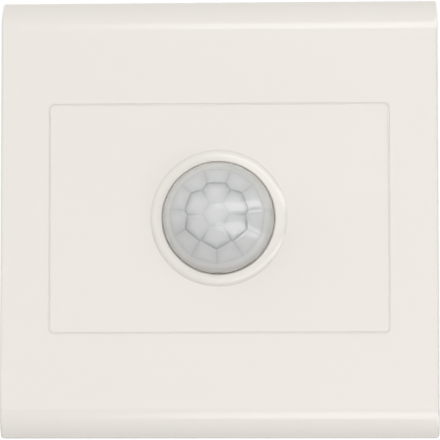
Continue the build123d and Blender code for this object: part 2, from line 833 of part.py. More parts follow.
for name, (x, z) in zip(("time", "lux"), trimmer_places):
    with BuildPart() as trimmer:
        with BuildSketch(room_plane(sensor_board_front_y)):
            with Locations((x, z)):
                RectangleRounded(trimmer_body, trimmer_body, trimmer_corner)
                Circle(rotor_stem / 2 + shaft_gap, mode=Mode.SUBTRACT)
        extrude(amount=sensor_board_front_y - trimmer_front_y)
    trimmer.part.label = f"{name}_trimmer_body"
    export_step(trimmer.part, f"parts/{name}_trimmer_body.step")

    with BuildPart() as rotor:
        with BuildSketch(room_plane(sensor_board_front_y - shaft_gap)):
            with Locations((x, z)):
                Circle(rotor_stem / 2)
        extrude(amount=sensor_board_front_y - shaft_gap - trimmer_front_y + rotor_lift)
        with BuildSketch(room_plane(trimmer_front_y - rotor_lift)):
            with Locations((x, z)):
                Circle(rotor_diameter / 2)
        extrude(amount=trimmer_front_y - rotor_lift - rotor_front_y)
        with BuildSketch(room_plane(rotor_front_y + rotor_slot_depth)):
            with Locations((x, z)):
                Rectangle(rotor_slot_length, rotor_slot_width)
                Rectangle(rotor_slot_width, rotor_slot_length)
            with Locations((x, z + rotor_slot_length / 2)):
                Triangle(a=pointer_width, b=pointer_width, c=pointer_width)
        extrude(amount=rotor_slot_depth + overrun, mode=Mode.SUBTRACT)
    rotor.part.label = f"{name}_trimmer_rotor"
    export_step(rotor.part, f"parts/{name}_trimmer_rotor.step")

# Control chip and its gull-wing leads
chip_front_y = sensor_board_rear_y + chip_lift
lead_rear_y = sensor_board_rear_y + chip_lead_height

with BuildPart() as control_chip:
    with BuildSketch(room_plane(chip_front_y + chip_height)):
        with Locations((0, chip_z)):
            Rectangle(chip_length, chip_width)
    extrude(amount=chip_height)
control_chip.part.label = "control_chip"
export_step(control_chip.part, "parts/control_chip.step")

with BuildPart() as chip_leads:
    for i in range(chip_leads_per_side):
        x = (i - (chip_leads_per_side - 1) / 2) * chip_pitch
        for side in (-1, 1):
            near_z = chip_z + side * chip_width / 2
            bend_z = near_z + side * (chip_lead_reach - chip_lead_foot)
            far_z = near_z + side * chip_lead_reach
            with BuildSketch(Plane.YZ.offset(x)):
                with BuildLine():
                    Polyline(
                        (lead_rear_y, near_z),
                        (lead_rear_y, bend_z),
                        (sensor_board_rear_y + chip_lead_thickness, bend_z),
                        (sensor_board_rear_y + chip_lead_thickness, far_z),
                        (sensor_board_rear_y, far_z),
                        (sensor_board_rear_y, bend_z - side * chip_lead_thickness),
                        (lead_rear_y - chip_lead_thickness, bend_z - side * chip_lead_thickness),
                        (lead_rear_y - chip_lead_thickness, near_z),
                        close=True,
                    )
                make_face()
            extrude(amount=chip_lead_width / 2, both=True)
chip_leads.part.label = "chip_leads"
export_step(chip_leads.part, "parts/chip_leads.step")

# Relay: a coil under a hinged armature that carries the moving contact
relay_left = -case_inner / 2 + relay_side_gap
relay_x = relay_left + relay_length / 2
relay_base_y = power_board_rear_y + relay_base_thickness
yoke_right = relay_left + relay_length - relay_wall - yoke_edge_gap
pivot_x = yoke_right - yoke_thickness / 2
coil_x = yoke_right - yoke_thickness - bobbin_yoke_gap - bobbin_flange_diameter / 2
bobbin_front_y = relay_base_y + yoke_thickness
bobbin_rear_y = bobbin_front_y + bobbin_length
pole_rear_y = bobbin_rear_y + pole_thickness
pole_reach = pivot_x - coil_x + pole_diameter / 2
armature_y = pole_rear_y + armature_clear + pole_reach * sin(radians(armature_angle))
yoke_rear_y = armature_y - armature_lift
contact_x = relay_left + relay_wall + contact_edge + contact_diameter / 2
armature_left = contact_x + contact_diameter / 2 + seat_gap
blade_y = armature_y + armature_thickness
moving_contact_y = blade_y - contact_height
contact_drop = (pivot_x - contact_x + contact_diameter / 2) * sin(radians(armature_angle))
fixed_contact_y = moving_contact_y - contact_drop - armature_clear
fixed_arm_y = fixed_contact_y - fixed_contact_height
fixed_post_x = relay_left + relay_wall + fixed_post_gap

with BuildPart() as relay_base:
    with BuildSketch(room_plane(relay_base_y)):
        with Locations((relay_x, relay_z)):
            Rectangle(
                relay_length - 2 * relay_wall - 2 * relay_base_gap,
                relay_width - 2 * relay_wall - 2 * relay_base_gap,
            )
    extrude(amount=relay_base_thickness)
relay_base.part.label = "relay_base"
export_step(relay_base.part, "parts/relay_base.step")

with BuildPart() as relay_case:
    with BuildSketch(room_plane(relay_rear_y)):
        with Locations((relay_x, relay_z)):
            RectangleRounded(relay_length, relay_width, relay_corner)
    extrude(amount=relay_height)
    with BuildSketch(room_plane(relay_rear_y - relay_wall)):
        with Locations((relay_x, relay_z)):
            Rectangle(relay_length - 2 * relay_wall, relay_width - 2 * relay_wall)
    extrude(amount=relay_height, mode=Mode.SUBTRACT)
relay_case.part.label = "relay_case"
export_step(relay_case.part, "parts/relay_case.step")

with BuildPart() as relay_yoke:
    with BuildSketch(Plane.XY.offset(relay_z)):
        with BuildLine():
            Polyline(
                (coil_x - pole_diameter / 2, relay_base_y),
                (yoke_right, relay_base_y),
                (yoke_right, yoke_rear_y),
                (yoke_right - yoke_thickness, yoke_rear_y),
                (yoke_right - yoke_thickness, bobbin_front_y),
                (coil_x - pole_diameter / 2, bobbin_front_y),
                close=True,
            )
        make_face()
    extrude(amount=yoke_width / 2, both=True)
relay_yoke.part.label = "relay_yoke"
export_step(relay_yoke.part, "parts/relay_yoke.step")

with BuildPart() as relay_bobbin:
    with BuildSketch(turning_plane(coil_x, relay_z)):
        with BuildLine():
            Polyline(
                (bobbin_bore / 2, bobbin_front_y),
                (bobbin_flange_diameter / 2, bobbin_front_y),
                (bobbin_flange_diameter / 2, bobbin_front_y + bobbin_flange),
                (bobbin_tube / 2, bobbin_front_y + bobbin_flange),
                (bobbin_tube / 2, bobbin_rear_y - bobbin_flange),
                (bobbin_flange_diameter / 2, bobbin_rear_y - bobbin_flange),
                (bobbin_flange_diameter / 2, bobbin_rear_y),
                (bobbin_bore / 2, bobbin_rear_y),
                close=True,
            )
        make_face()
    revolve(axis=turning_axis(coil_x, relay_z))
relay_bobbin.part.label = "relay_bobbin"
export_step(relay_bobbin.part, "parts/relay_bobbin.step")

with BuildPart() as relay_winding:
    with BuildSketch(room_plane(bobbin_rear_y - bobbin_flange)):
        with Locations((coil_x, relay_z)):
            Circle(winding_diameter / 2)
            Circle(bobbin_tube / 2, mode=Mode.SUBTRACT)
    extrude(amount=bobbin_length - 2 * bobbin_flange)
relay_winding.part.label = "relay_winding"
export_step(relay_winding.part, "parts/relay_winding.step")

with BuildPart() as relay_core:
    with BuildSketch(room_plane(bobbin_rear_y)):
        with Locations((coil_x, relay_z)):
            Circle(bobbin_bore / 2 - core_gap)
    extrude(amount=bobbin_length)
    with BuildSketch(room_plane(pole_rear_y)):
        with Locations((coil_x, relay_z)):
            Circle(pole_diameter / 2)
    extrude(amount=pole_thickness)
relay_core.part.label = "relay_core"
export_step(relay_core.part, "parts/relay_core.step")

with BuildPart() as relay_armature:
    with BuildSketch(room_plane(blade_y)):
        with Locations(((armature_left + yoke_right) / 2, relay_z)):
            Rectangle(yoke_right - armature_left, yoke_width)
    extrude(amount=armature_thickness)
relay_armature.part.label = "relay_armature"
export_step(relay_armature.part, "parts/relay_armature.step")

blade_left = contact_x - contact_diameter / 2
blade_right = armature_left + blade_lap

with BuildPart() as contact_blade:
    with BuildSketch(room_plane(blade_y + blade_thickness)):
        with Locations(((blade_left + blade_right) / 2, relay_z)):
            Rectangle(blade_right - blade_left, blade_width)
    extrude(amount=blade_thickness)
    with BuildSketch(room_plane(blade_y)):
        with Locations((contact_x, relay_z)):
            Circle(contact_diameter / 2)
    extrude(amount=contact_height)
contact_blade.part.label = "contact_blade"
export_step(contact_blade.part, "parts/contact_blade.step")

with BuildPart() as fixed_contact:
    with BuildSketch(Plane.XY.offset(relay_z)):
        with BuildLine():
            Polyline(
                (fixed_post_x, relay_base_y),
                (fixed_post_x + fixed_arm_thickness, relay_base_y),
                (fixed_post_x + fixed_arm_thickness, fixed_arm_y - fixed_arm_thickness),
                (contact_x + contact_diameter / 2, fixed_arm_y - fixed_arm_thickness),
                (contact_x + contact_diameter / 2, fixed_arm_y),
                (fixed_post_x, fixed_arm_y),
                close=True,
            )
        make_face()
    extrude(amount=fixed_arm_width / 2, both=True)
    with BuildSketch(room_plane(fixed_contact_y)):
        with Locations((contact_x, relay_z)):
            Circle(contact_diameter / 2)
    extrude(amount=fixed_contact_height)
fixed_contact.part.label = "fixed_contact"
export_step(fixed_contact.part, "parts/fixed_contact.step")

# Film capacitor
with BuildPart() as film_capacitor:
    with BuildSketch(room_plane(power_board_rear_y + film_height)):
        with Locations((film_x, film_z)):
            RectangleRounded(film_length, film_width, film_round)
    extrude(amount=film_height)
film_capacitor.part.label = "film_capacitor"
export_step(film_capacitor.part, "parts/film_capacitor.step")

# Electrolytic capacitors: drums with a pinched groove near the board
for name, (diameter, height, x, z) in zip(("main", "output"), drum_sizes):
    groove_y = power_board_rear_y + drum_groove_height
    with BuildPart() as drum:
        with BuildSketch(turning_plane(x, z)):
            with BuildLine():
                Polyline(
                    (0, power_board_rear_y),
                    (diameter / 2, power_board_rear_y),
                    (diameter / 2, groove_y),
                    (diameter / 2 - drum_groove, groove_y + drum_groove_width / 2),
                    (diameter / 2, groove_y + drum_groove_width),
                    (diameter / 2, power_board_rear_y + height - drum_bevel),
                    (diameter / 2 - drum_bevel, power_board_rear_y + height),
                    (0, power_board_rear_y + height),
                    close=True,
                )
            make_face()
        revolve(axis=turning_axis(x, z))
    drum.part.label = f"{name}_capacitor"
    export_step(drum.part, f"parts/{name}_capacitor.step")

# Varistor: an upright disc on two leads
varistor_y = power_board_rear_y + varistor_lift + varistor_diameter / 2

with BuildPart() as varistor:
    with BuildSketch(Plane.YZ.offset(varistor_x)):
        with Locations((varistor_y, varistor_z)):
            Circle(varistor_diameter / 2)
    extrude(amount=varistor_thickness / 2, both=True)
    chamfer(varistor.edges().filter_by(GeomType.CIRCLE), varistor_round)
    with BuildSketch(room_plane(varistor_y)):
        with Locations((varistor_x, varistor_z)):
            with GridLocations(0, varistor_lead_spacing, 1, 2):
                Rectangle(varistor_lead, varistor_lead)
    extrude(amount=varistor_y - power_board_rear_y)
varistor.part.label = "varistor"
export_step(varistor.part, "parts/varistor.step")


def axial_component(length, diameter, places, along):
    """Barrels that lie on the power board, each with two leads bent down to it."""
    centre_y = power_board_rear_y + axial_lift + diameter / 2
    with BuildPart() as component:
        for x, z in places:
            barrel_plane = Plane(origin=(x, centre_y, z), z_dir=along)
            with BuildSketch(barrel_plane):
                Circle(diameter / 2)
            extrude(amount=length / 2, both=True)
            with BuildSketch(barrel_plane):
                Rectangle(axial_lead, axial_lead)
            extrude(amount=length / 2 + axial_lead_reach, both=True)
            for end in (-1, 1):
                reach = end * (length / 2 + axial_lead_reach - axial_lead / 2)
                with BuildSketch(room_plane(centre_y)):
                    with Locations((x + reach * along[0], z + reach * along[2])):
                        Rectangle(axial_lead, axial_lead)
                extrude(amount=centre_y - power_board_rear_y)
    return component.part


# Fusible resistor in series with the supply
fuse_resistor = axial_component(fuse_length, fuse_diameter, [(fuse_x, fuse_z)], (1, 0, 0))
fuse_resistor.label = "fuse_resistor"
export_step(fuse_resistor, "parts/fuse_resistor.step")

# Four rectifier diodes side by side
diode_places = [(diode_x + (i - (diode_count - 1) / 2) * diode_pitch, diode_z) for i in range(diode_count)]
rectifier_diodes = axial_component(diode_length, diode_diameter, diode_places, (0, 0, 1))
rectifier_diodes.label = "rectifier_diodes"
export_step(rectifier_diodes, "parts/rectifier_diodes.step")

# Terminal housing: one cavity for each rising cage, open to the wires from below
housing_width = (terminal_count - 1) * terminal_pitch + cage_width + 2 * cage_side_gap + 2 * terminal_wall
cavity_width = cage_width + 2 * cage_side_gap

with BuildPart() as terminal_housing:
    with BuildSketch(room_plane(roof_rear_y)):
        with Locations((0, (terminal_bottom_z + terminal_top_z) / 2)):
            Rectangle(housing_width, terminal_top_z - terminal_bottom_z)
    extrude(amount=roof_rear_y - power_board_rear_y)
    with BuildSketch(room_plane(roof_front_y)):
        with Locations(*[(x, cage_z) for x in terminal_places]):
            Rectangle(cavity_width, cavity_top_z - cavity_bottom_z)
    extrude(amount=roof_front_y - cage_floor_y, mode=Mode.SUBTRACT)
    with BuildSketch(room_plane(roof_rear_y)):
        with Locations(*[(x, cage_z) for x in terminal_places]):
            Circle(clamp_screw / 2 + clamp_hole_gap)
    extrude(amount=roof_rear_y - cage_floor_y, mode=Mode.SUBTRACT)
    with BuildSketch(Plane.XY.offset(terminal_bottom_z)):
        with Locations(*[(x, entry_y) for x in terminal_places]):
            Rectangle(entry_side, entry_side)
    extrude(amount=terminal_front_wall + cage_side_gap / 2, mode=Mode.SUBTRACT)
    with BuildSketch(Plane.XY.offset(cavity_top_z)):
        with Locations(*[(x, bar_rear_y - bar_thickness / 2) for x in terminal_places]):
            Rectangle(bar_width + 2 * bar_slot_gap, bar_thickness + 2 * bar_slot_gap)
    extrude(amount=terminal_wall, mode=Mode.SUBTRACT)
terminal_housing.part.label = "terminal_housing"
export_step(terminal_housing.part, "parts/terminal_housing.step")

# Contact bars: each runs through its cage and bends down to the board
with BuildPart() as terminal_contacts:
    for x in terminal_places:
        with BuildSketch(Plane.YZ.offset(x)):
            with BuildLine():
                Polyline(
                    (bar_rear_y, cavity_bottom_z + bar_end_gap),
                    (bar_rear_y, terminal_top_z + bar_thickness + bar_slot_gap),
                    (power_board_rear_y, terminal_top_z + bar_thickness + bar_slot_gap),
                    (power_board_rear_y, terminal_top_z + bar_slot_gap),
                    (bar_rear_y - bar_thickness, terminal_top_z + bar_slot_gap),
                    (bar_rear_y - bar_thickness, cavity_bottom_z + bar_end_gap),
                    close=True,
                )
            make_face()
        extrude(amount=bar_width / 2, both=True)
terminal_contacts.part.label = "terminal_contacts"
export_step(terminal_contacts.part, "parts/terminal_contacts.step")

# Rising cages and the captive screws that lift them
for number, x in enumerate(terminal_places, start=1):
    with BuildPart() as cage:
        with BuildSketch(Plane.XY.offset(cage_z)):
            with Locations((x, (cage_front_y + cage_rear_y) / 2)):
                RectangleRounded(cage_width, cage_rear_y - cage_front_y, cage_round)
            with Locations((x, (window_front_y + window_rear_y) / 2)):
                Rectangle(cage_width - 2 * cage_wall, cage_window, mode=Mode.SUBTRACT)
        extrude(amount=cage_depth / 2, both=True)
        with BuildSketch(room_plane(cage_rear_y)):
            with Locations((x, cage_z)):
                Circle(clamp_screw / 2 + shaft_gap)
        extrude(amount=cage_top, mode=Mode.SUBTRACT)
    cage.part.label = f"terminal_cage_{number}"
    export_step(cage.part, f"parts/terminal_cage_{number}.step")

    with BuildPart() as screw:
        with BuildSketch(room_plane(clamp_head_rear_y)):
            with Locations((x, cage_z)):
                Circle(clamp_head / 2)
        extrude(amount=clamp_head_height)
        with BuildSketch(room_plane(clamp_head_front_y)):
            with Locations((x, cage_z)):
                Circle(clamp_screw / 2)
        extrude(amount=clamp_head_front_y - bar_rear_y - clamp_tip_gap)
        with BuildSketch(room_plane(clamp_head_rear_y)):
            with Locations((x, cage_z)):
                Rectangle(clamp_head, drive_slot_width)
        extrude(amount=drive_slot_depth, mode=Mode.SUBTRACT)
    screw.part.label = f"terminal_screw_{number}"
    export_step(screw.part, f"parts/terminal_screw_{number}.step")
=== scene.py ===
import json
import math
from collections import namedtuple

import bmesh
import bpy
from mathutils import Matrix, Vector


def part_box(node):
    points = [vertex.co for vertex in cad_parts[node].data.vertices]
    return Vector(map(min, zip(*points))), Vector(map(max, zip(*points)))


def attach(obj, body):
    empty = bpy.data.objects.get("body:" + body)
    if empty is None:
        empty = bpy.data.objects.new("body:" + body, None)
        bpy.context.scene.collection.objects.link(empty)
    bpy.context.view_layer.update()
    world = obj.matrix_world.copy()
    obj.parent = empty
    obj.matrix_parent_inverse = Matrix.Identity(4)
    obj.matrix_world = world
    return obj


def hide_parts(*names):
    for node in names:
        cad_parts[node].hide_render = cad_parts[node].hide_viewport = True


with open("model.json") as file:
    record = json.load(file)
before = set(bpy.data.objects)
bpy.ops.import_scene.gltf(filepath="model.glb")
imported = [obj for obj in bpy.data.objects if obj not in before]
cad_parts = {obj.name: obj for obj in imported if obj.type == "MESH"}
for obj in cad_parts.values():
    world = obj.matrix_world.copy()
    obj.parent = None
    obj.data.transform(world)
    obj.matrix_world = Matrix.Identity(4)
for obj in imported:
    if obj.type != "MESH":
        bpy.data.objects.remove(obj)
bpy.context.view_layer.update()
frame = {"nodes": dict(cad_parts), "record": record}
nodes = frame["nodes"]

# The record's frame: +X right, +Y into the wall, +Z up, in metres
MM = 0.001
scene = bpy.context.scene
scene.view_settings.view_transform = "Standard"


# Materials
def new_material(name):
    """A node material, with its node tree and its shader."""
    material = bpy.data.materials.new(name)
    material.use_nodes = True
    tree = material.node_tree
    return material, tree, tree.nodes["Principled BSDF"]


def set_inputs(node, values):
    """Sets several inputs of a node by their names."""
    for name, value in values.items():
        node.inputs[name].default_value = value


def object_place(tree):
    """Each point's place in the object's own coordinates."""
    return tree.nodes.new("ShaderNodeTexCoord").outputs["Object"]


def add_noise(tree, scale, detail, coordinates=None):
    """A noise texture in the object's own coordinates, or in those that are given."""
    noise = tree.nodes.new("ShaderNodeTexNoise")
    set_inputs(noise, {"Scale": scale, "Detail": detail})
    tree.links.new(coordinates or object_place(tree), noise.inputs["Vector"])
    return noise.outputs["Fac"]


def add_waves(tree, direction, scale, distortion=0.0):
    """Bands across one axis of the object's own coordinates."""
    waves = tree.nodes.new("ShaderNodeTexWave")
    waves.bands_direction = direction
    set_inputs(waves, {"Scale": scale, "Distortion": distortion})
    tree.links.new(object_place(tree), waves.inputs["Vector"])
    return waves.outputs["Fac"]


def add_attribute(tree, name):
    """A value stored on the mesh."""
    attribute = tree.nodes.new("ShaderNodeAttribute")
    attribute.attribute_name = name
    return attribute.outputs["Fac"]


def add_range(tree, value, low, high, source=(0, 1), smooth=False):
    """Maps a value from the source range to low..high, in a straight line or eased at both ends."""
    node = tree.nodes.new("ShaderNodeMapRange")
    if smooth:
        node.interpolation_type = "SMOOTHSTEP"
    set_inputs(node, {"From Min": source[0], "From Max": source[1], "To Min": low, "To Max": high})
    tree.links.new(value, node.inputs["Value"])
    return node.outputs["Result"]


def add_math(tree, operation, first, second=None):
    """A math node on one socket, or on a socket with a second one or a number."""
    node = tree.nodes.new("ShaderNodeMath")
    node.operation = operation
    tree.links.new(first, node.inputs[0])
    if isinstance(second, bpy.types.NodeSocket):
        tree.links.new(second, node.inputs[1])
    elif second is not None:
        node.inputs[1].default_value = second
    return node.outputs["Value"]


def add_mix(tree, value, first, second):
    """Mixes two colours by a value."""
    node = tree.nodes.new("ShaderNodeMix")
    node.data_type = "RGBA"
    tree.links.new(value, node.inputs["Factor"])
    for socket, colour in ((node.inputs["A"], first), (node.inputs["B"], second)):
        if isinstance(colour, bpy.types.NodeSocket):
            tree.links.new(colour, socket)
        else:
            socket.default_value = (*colour, 1)
    return node.outputs["Result"]


def add_bump(tree, shader, height, distance, strength=1.0):
    """Feeds a height into the shader's normal."""
    bump = tree.nodes.new("ShaderNodeBump")
    set_inputs(bump, {"Distance": distance, "Strength": strength})
    tree.links.new(height, bump.inputs["Height"])
    tree.links.new(bump.outputs["Normal"], shader.inputs["Normal"])


def add_axis_distance(tree):
    """Distance from the lens axis, in metres."""
    place = tree.nodes.new("ShaderNodeSeparateXYZ")
    tree.links.new(object_place(tree), place.inputs["Vector"])
    flat = tree.nodes.new("ShaderNodeCombineXYZ")
    tree.links.new(place.outputs["X"], flat.inputs["X"])
    tree.links.new(place.outputs["Z"], flat.inputs["Z"])
    length = tree.nodes.new("ShaderNodeVectorMath")
    length.operation = "LENGTH"
    tree.links.new(flat.outputs["Vector"], length.inputs[0])
    return length.outputs["Value"]


# Scale of the mottling, how far the roughness varies, and how dark and deep the marks on metal are
PLASTIC_CLOUD = 60
PLASTIC_SPREAD = 0.15
METAL_SPREAD = 0.3
METAL_DARKENING = 0.14
METAL_DEPTH = 4e-6


def plastic(name, colour, roughness, grain, grain_depth, mottle=0.03):
    """Moulded plastic: faint mottling, a fine grain and a slightly uneven gloss."""
    material, tree, shader = new_material(name)
    darker = tuple(channel * (1 - mottle) for channel in colour)
    cloud = add_noise(tree, PLASTIC_CLOUD, 2)
    tree.links.new(add_mix(tree, cloud, darker, colour), shader.inputs["Base Color"])
    fine = add_noise(tree, grain, 2)
    low, high = roughness * (1 - PLASTIC_SPREAD), roughness * (1 + PLASTIC_SPREAD)
    tree.links.new(add_range(tree, fine, low, high), shader.inputs["Roughness"])
    add_bump(tree, shader, fine, grain_depth)
    return material


def metal(name, colour, roughness, grain, stretch=(1, 1, 1)):
    """Plated or bare metal with fine drawn or tumbled marks."""
    material, tree, shader = new_material(name)
    shader.inputs["Metallic"].default_value = 1
    mapping = tree.nodes.new("ShaderNodeMapping")
    mapping.inputs["Scale"].default_value = stretch
    tree.links.new(object_place(tree), mapping.inputs["Vector"])
    marks = add_noise(tree, grain, 4, mapping.outputs["Vector"])
    darker = tuple(channel * (1 - METAL_DARKENING) for channel in colour)
    tree.links.new(add_mix(tree, marks, darker, colour), shader.inputs["Base Color"])
    low, high = roughness * (1 - METAL_SPREAD), roughness * (1 + METAL_SPREAD)
    tree.links.new(add_range(tree, marks, low, high), shader.inputs["Roughness"])
    add_bump(tree, shader, marks, METAL_DEPTH)
    return material


# Plate and collar: the two whites, the second a lighter white painted on the collar as painted light, the
# distances from the lens axis where the collar begins and ends, and the width and darkness of the painted
# shade line at the collar's foot
COVER_WHITE = (0.82, 0.78, 0.73)
COLLAR_PAINTED_LIGHT = (0.88, 0.845, 0.795)
COLLAR_START = 11.6 * MM
COLLAR_FOOT = 13.4 * MM
FOOT_LINE = 0.22 * MM
FOOT_SHADE = 0.93
COVER_INDEX = 1.58


def cover_material():
    """Glossy white plastic, with painted light that lightens the collar near the lens, and a fine line of
    painted shade at the collar's foot.
    """
    material = plastic("cover_plastic", COVER_WHITE, 0.16, 1500, 2e-6, 0.012)
    tree = material.node_tree
    shader = tree.nodes["Principled BSDF"]
    shader.inputs["IOR"].default_value = COVER_INDEX
    colour = shader.inputs["Base Color"]
    distance = add_axis_distance(tree)
    # Painted shade: a thin darker line where the collar meets the plate
    from_foot = add_math(tree, "ABSOLUTE", add_math(tree, "SUBTRACT", distance, COLLAR_FOOT))
    foot_shade_mask = add_range(tree, from_foot, 0, 1, (0, FOOT_LINE), smooth=True)
    # Painted light: the collar is lighter near the lens, fading to the plate's white at its foot
    plate = add_range(tree, distance, 0, 1, (COLLAR_START, COLLAR_FOOT), smooth=True)
    painted_light_whites = add_mix(tree, plate, COLLAR_PAINTED_LIGHT, colour.links[0].from_socket)
    shade = tuple(FOOT_SHADE * channel for channel in COVER_WHITE)
    tree.links.new(add_mix(tree, foot_shade_mask, shade, painted_light_whites), colour)
    return material


BOARD_CELLS = 260
BOARD_GREENS = ((0.01, 0.12, 0.045), (0.02, 0.2, 0.08))
BOARD_DEPTH = 3e-5


def board_material():
    """Green lacquer over copper tracks on a glass laminate."""
    material, tree, shader = new_material("board")
    cells = tree.nodes.new("ShaderNodeTexVoronoi")
    cells.distance = "CHEBYCHEV"
    cells.inputs["Scale"].default_value = BOARD_CELLS
    tree.links.new(object_place(tree), cells.inputs["Vector"])
    tracks = cells.outputs["Distance"]
    tree.links.new(add_mix(tree, tracks, *BOARD_GREENS), shader.inputs["Base Color"])
    set_inputs(shader, {"Roughness": 0.3, "Coat Weight": 0.3})
    add_bump(tree, shader, tracks, BOARD_DEPTH, 0.5)
    return material


WINDING_WAVES = 2200
WINDING_COPPERS = ((0.3, 0.09, 0.03), (0.75, 0.3, 0.13))
WINDING_DEPTH = 5e-5


def winding_material():
    """Enamelled copper laid in fine turns."""
    material, tree, shader = new_material("copper_wire")
    set_inputs(shader, {"Metallic": 1, "Roughness": 0.3})
    waves = add_waves(tree, "Y", WINDING_WAVES)
    tree.links.new(add_mix(tree, waves, *WINDING_COPPERS), shader.inputs["Base Color"])
    add_bump(tree, shader, waves, WINDING_DEPTH)
    return material


CELL_WAVES = 420
CELL_DISTORTION = 1.5
CELL_TRACK = (0.75, 0.2, 0.06)
CELL_PLATES = (0.75, 0.66, 0.5)


def cell_material():
    """Light cell: an orange track that winds to and fro between pale plates, under clear lacquer."""
    material, tree, shader = new_material("cell_face")
    waves = add_waves(tree, "Z", CELL_WAVES, CELL_DISTORTION)
    tree.links.new(add_mix(tree, waves, CELL_TRACK, CELL_PLATES), shader.inputs["Base Color"])
    set_inputs(shader, {"Roughness": 0.2, "Coat Weight": 1})
    return material


# Lens: its colours, among them painted shade for its creases and its rim, the distances from its axis where
# the painted rim shade begins and ends, and its surface
LENS_CLOUD = 350
LENS_WHITES = ((0.67, 0.68, 0.675), (0.73, 0.735, 0.725))
LENS_CREASE_SHADE = (0.33, 0.34, 0.345)
LENS_RIM_SHADE = (0.38, 0.365, 0.34)
RIM_SHADE_START = 9.9 * MM
RIM_SHADE_END = 11.15 * MM
RING_DEPTH = 2e-6
LENS_SURFACE = {
    "Roughness": 0.2,
    "IOR": 1.54,
    "Specular IOR Level": 0.25,
    "Coat Weight": 0.75,
    "Coat Roughness": 0.07,
    "Coat IOR": 1.5,
    "Transmission Weight": 0.08,
    "Subsurface Weight": 0.35,
    "Subsurface Radius": (1, 1, 1),
    "Subsurface Scale": 0.8 * MM,
}


def lens_material():
    """Milky polyethylene: translucent, with painted shade in its creases and towards its rim, and fine rings
    on each facet.
    """
    material, tree, shader = new_material("lens_plastic")
    body = add_mix(tree, add_noise(tree, LENS_CLOUD, 3), *LENS_WHITES)
    # Painted shade in the creases, from the shade stored on the mesh
    crease_shaded = add_mix(tree, add_attribute(tree, "painted_crease_shade"), body, LENS_CREASE_SHADE)
    # Painted shade: the lens darkens towards its rim beside the collar
    rim = add_range(tree, add_axis_distance(tree), 0, 1, (RIM_SHADE_START, RIM_SHADE_END))
    tree.links.new(add_mix(tree, rim, crease_shaded, LENS_RIM_SHADE), shader.inputs["Base Color"])
    set_inputs(shader, LENS_SURFACE)
    rings = add_math(tree, "SINE", add_attribute(tree, "cell_radius"))
    add_bump(tree, shader, rings, RING_DEPTH, 0.5)
    return material


materials = {
    "cover_plastic": cover_material(),
    "base_plastic": plastic("base_plastic", (0.76, 0.74, 0.7), 0.45, 2600, 8e-6),
    "terminal_plastic": plastic("terminal_plastic", (0.7, 0.7, 0.68), 0.4, 2600, 6e-6),
    "black_plastic": plastic("black_plastic", (0.018, 0.018, 0.02), 0.42, 3000, 8e-6, 0.3),
    "trimmer_blue": plastic("trimmer_blue", (0.025, 0.09, 0.36), 0.35, 3000, 5e-6, 0.1),
    "trimmer_white": plastic("trimmer_white", (0.8, 0.78, 0.73), 0.35, 3000, 5e-6),
    "relay_plastic": plastic("relay_plastic", (0.02, 0.07, 0.28), 0.25, 2000, 4e-6, 0.1),
    "film_plastic": plastic("film_plastic", (0.68, 0.42, 0.03), 0.4, 2000, 8e-6, 0.08),
    "capacitor_sleeve": plastic("capacitor_sleeve", (0.012, 0.016, 0.035), 0.25, 900, 6e-6, 0.2),
    "varistor_coat": plastic("varistor_coat", (0.02, 0.1, 0.3), 0.5, 1800, 2e-5, 0.15),
    "resistor_coat": plastic("resistor_coat", (0.2, 0.36, 0.26), 0.6, 2200, 2e-5, 0.12),
    "ceramic": plastic("ceramic", (0.7, 0.67, 0.6), 0.55, 3200, 5e-6),
    "zinc_steel": metal("zinc_steel", (0.62, 0.64, 0.66), 0.28, 1400),
    "tinned_metal": metal("tinned_metal", (0.7, 0.7, 0.68), 0.22, 1800),
    "nickel": metal("nickel", (0.66, 0.63, 0.57), 0.2, 2200),
    "brass": metal("brass", (0.75, 0.53, 0.2), 0.3, 1500, (1, 6, 1)),
    "infrared_filter": metal("infrared_filter", (0.1, 0.07, 0.09), 0.06, 500),
    "board": board_material(),
    "copper_wire": winding_material(),
    "cell_face": cell_material(),
    "lens_plastic": lens_material(),
}

node_slots = {part["node"]: part["material_slot"] for part in frame["record"]["subparts"]}
for name, obj in nodes.items():
    obj.data.materials.clear()
    obj.data.materials.append(materials[node_slots[name]])

# Mesh helpers: distances under which points are the same, or lie on an axis or a plane
WELD = 1e-7
ON_AXIS = 1e-9
ON_PLANE = 1e-8


def add_object(mesh_data, name):
    """Turns a bmesh into an object of the scene."""
    mesh = bpy.data.meshes.new(name)
    mesh_data.to_mesh(mesh)
    mesh_data.free()
    added = bpy.data.objects.new(name, mesh)
    scene.collection.objects.link(added)
    return added


def face_outwards(mesh_data):
    """Turns all faces outwards."""
    bmesh.ops.recalc_face_normals(mesh_data, faces=mesh_data.faces)


def finish_piece(mesh_data, name, body, slot, sharp_angle):
    """Turns a bmesh into a piece that rides on a body, smooth up to an angle in degrees."""
    bmesh.ops.remove_doubles(mesh_data, verts=mesh_data.verts, dist=WELD)
    face_outwards(mesh_data)
    piece = add_object(mesh_data, name)
    for polygon in piece.data.polygons:
        polygon.use_smooth = True
    piece.data.set_sharp_from_angle(angle=math.radians(sharp_angle))
    piece.data.materials.append(materials[slot])
    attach(piece, body)
    return piece


def bridge(mesh_data, first, second):
    """Faces between two closed rows of equally many points."""
    for i in range(len(first)):
        j = (i + 1) % len(first)
        mesh_data.faces.new((first[i], first[j], second[j], second[i]))


